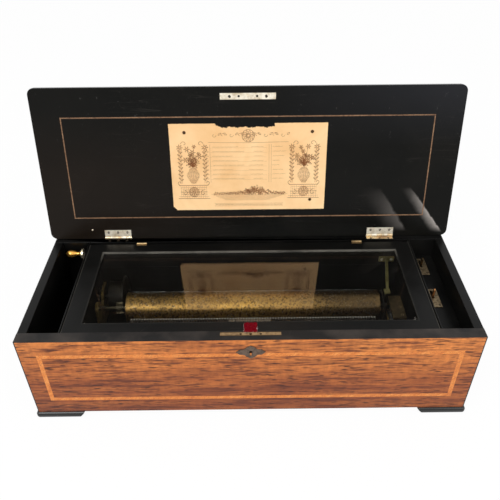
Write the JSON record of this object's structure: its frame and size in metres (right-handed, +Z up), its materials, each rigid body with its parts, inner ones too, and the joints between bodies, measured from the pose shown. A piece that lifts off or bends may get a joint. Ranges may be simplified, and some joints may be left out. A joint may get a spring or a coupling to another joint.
{
  "type": "music box",
  "caption": "Lever-wound cylinder music box in a long wooden case, with a leaning lid, an inner glass lid over the pinned cylinder and comb, a winding lever and control levers.",
  "frame": {"origin": "on the surface the feet stand on, at the middle of the footprint of the box with its lid open", "axes": "+X along the case towards the control levers, +Y to the back, +Z up"},
  "size_m": [0.5708, 0.2634, 0.3474],
  "materials": {
    "rosewood": "french polished, horizontal grain",
    "inlay_wood": "polished",
    "ebonised_wood": "black stain, satin polish",
    "plain_wood": "plain softwood",
    "brass": "aged brass",
    "bronze": "dark patina",
    "steel": "polished steel",
    "blackened_iron": "black japanned",
    "glass": "clear",
    "paper": "aged paper",
    "ribbon": "woven ribbon"
  },
  "bodies": {
    "case": {"front_panel": "rosewood", "front_band": "inlay_wood", "lock": "brass", "back_panel": "ebonised_wood", "right_panel": "ebonised_wood", "left_panel": "ebonised_wood", "bottom_board": "plain_wood", "feet": "ebonised_wood", "escutcheon": "bronze", "case_hinge_leaves": "brass", "case_hinge_pins": "brass", "left_partition": "ebonised_wood", "right_partition": "ebonised_wood", "back_rail": "ebonised_wood", "control_shelf": "ebonised_wood", "start_plate": "brass", "change_plate": "brass", "control_brackets": "brass", "rail_hinge_leaves": "brass", "glass_hinge_pins": "brass", "bed_bearers": "plain_wood", "bedplate": "blackened_iron", "bed_screws": "steel", "comb_base": "brass", "comb": "steel", "comb_screws": "steel", "left_bridge": "brass", "barrel_bridge": "brass", "right_bridge": "brass", "bridge_stay": "brass", "governor_frame": "brass", "governor_cock": "brass"},
    "lid": {"lid_board": "ebonised_wood", "lid_stringing": "inlay_wood", "link_plate": "brass", "lid_hinge_leaves": "brass", "tune_sheet": "paper", "sheet_tacks": "brass"},
    "glass_lid": {"glass_frame": "ebonised_wood", "glass_pane": "glass", "glass_hinge_leaves": "brass", "ribbon_pull": "ribbon"},
    "start_control": {"start_lever": "brass"},
    "change_control": {"change_lever": "brass"},
    "cylinder_drive": {"cylinder_arbor": "steel", "great_wheel": "brass"},
    "cylinder": {"cylinder_tube": "brass", "cylinder_caps": "brass", "cylinder_pins": "steel"},
    "barrel": {"spring_barrel": "brass", "barrel_wheel": "brass"},
    "winding_shaft": {"winding_arbor": "steel"},
    "click_pawl": {"click": "steel"},
    "winding_handle": {"winding_lever": "steel", "winding_knob": "brass"},
    "lever_pawl": {"winding_pawl": "steel"},
    "second": {"second_wheel": "steel"},
    "third": {"third_wheel": "steel"},
    "fly_spindle": {"endless_screw": "steel", "fly": "brass"}
  },
  "joints": [
    {"name": "lid_hinge", "type": "hinge", "parent": "case", "child": "lid", "pos_m": [0, 0.07877, 0.142], "axis": [-1, 0, 0], "range_deg": [-102.3, 0]},
    {"name": "glass_lid_hinge", "type": "hinge", "parent": "case", "child": "glass_lid", "pos_m": [0, 0.06797, 0.1384], "axis": [-1, 0, 0], "range_deg": [0, 99]},
    {"name": "winding_lever_pivot", "type": "hinge", "parent": "case", "child": "winding_handle", "pos_m": [-0.2381, 0.02411, 0.07552], "axis": [1, 0, 0], "range_deg": [0, 110]},
    {"name": "lever_pawl_pivot", "type": "hinge", "parent": "winding_handle", "child": "lever_pawl", "pos_m": [-0.2381, 0.03566, 0.09241], "axis": [1, 0, 0], "range_deg": [-12, 0], "stiffness_Nm_per_rad": 0.01, "springref_deg": 5.73},
    {"name": "winding_shaft_turn", "type": "hinge", "parent": "case", "child": "winding_shaft", "pos_m": [-0.2381, 0.02411, 0.07552], "axis": [1, 0, 0], "continuous": true},
    {"name": "click_pivot", "type": "hinge", "parent": "case", "child": "click_pawl", "pos_m": [-0.2164, 0.04287, 0.08369], "axis": [1, 0, 0], "range_deg": [-12, 0], "stiffness_Nm_per_rad": 0.01, "springref_deg": 5.73},
    {"name": "start_lever_pivot", "type": "hinge", "parent": "case", "child": "start_control", "pos_m": [0.2472, -0.01873, 0.086], "axis": [1, 0, 0], "range_deg": [-14, 0]},
    {"name": "change_lever_pivot", "type": "hinge", "parent": "case", "child": "change_control", "pos_m": [0.2472, 0.04927, 0.086], "axis": [1, 0, 0], "range_deg": [-14, 0]},
    {"name": "fly_spin", "type": "hinge", "parent": "case", "child": "fly_spindle", "pos_m": [0.2012, -0.00081, 0.06512], "axis": [0, 0, 1], "continuous": true},
    {"name": "third_wheel_spin", "type": "hinge", "parent": "case", "child": "third", "pos_m": [0.2012, -0.01222, 0.06512], "axis": [1, 0, 0], "continuous": true},
    {"name": "second_wheel_spin", "type": "hinge", "parent": "case", "child": "second", "pos_m": [0.1944, -0.02687, 0.06512], "axis": [1, 0, 0], "continuous": true},
    {"name": "cylinder_spin", "type": "hinge", "parent": "case", "child": "cylinder_drive", "pos_m": [0.181, -0.01103, 0.084], "axis": [1, 0, 0], "continuous": true},
    {"name": "tune_shift", "type": "slide", "parent": "cylinder_drive", "child": "cylinder", "axis": [-1, 0, 0], "range_m": [0, 0.00318], "stiffness_N_per_m": 200, "springref_m": -0.002},
    {"name": "barrel_spin", "type": "hinge", "parent": "case", "child": "barrel", "pos_m": [-0.2001, 0.02411, 0.07552], "axis": [1, 0, 0], "continuous": true}
  ],
  "couplings": [
    {"joint": "second_wheel_spin", "follows": "cylinder_spin", "ratio": -6},
    {"joint": "third_wheel_spin", "follows": "cylinder_spin", "ratio": 37.5},
    {"joint": "fly_spin", "follows": "cylinder_spin", "ratio": -1500},
    {"joint": "barrel_spin", "follows": "cylinder_spin", "ratio": -0.25}
  ]
}
